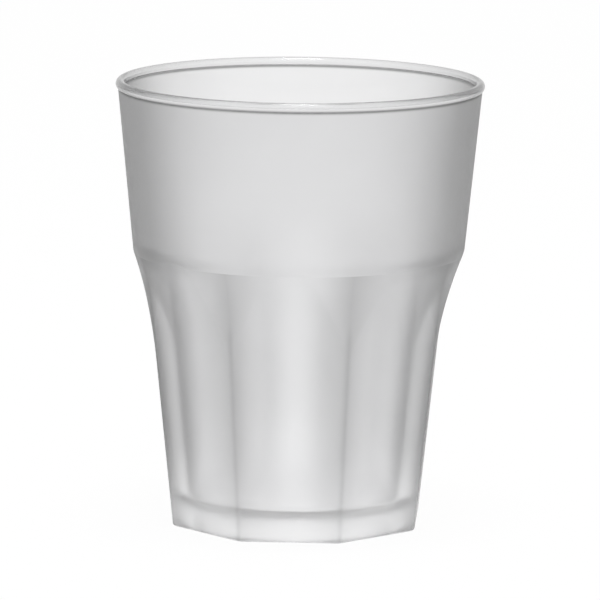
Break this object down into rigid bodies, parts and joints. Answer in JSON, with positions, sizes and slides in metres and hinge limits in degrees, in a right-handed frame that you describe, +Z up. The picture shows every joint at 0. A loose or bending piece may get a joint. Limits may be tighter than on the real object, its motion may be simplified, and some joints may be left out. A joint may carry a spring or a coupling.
{
  "type": "plastic tumbler cup",
  "caption": "Frosted plastic tumbler with a round upper cup, a beaded lip, and a faceted lower body that holds a drink.",
  "frame": {"origin": "centre of the foot, on the surface that the tumbler stands on", "axes": "+Z up along the tumbler's axis, -Y out of the middle of one flat"},
  "size_m": [0.0908, 0.0908, 0.11],
  "materials": {
    "frosted_plastic": "frosted translucent plastic, with a smooth glossy lip"
  },
  "bodies": {
    "root": {"tumbler": "frosted_plastic"}
  },
  "joints": []
}
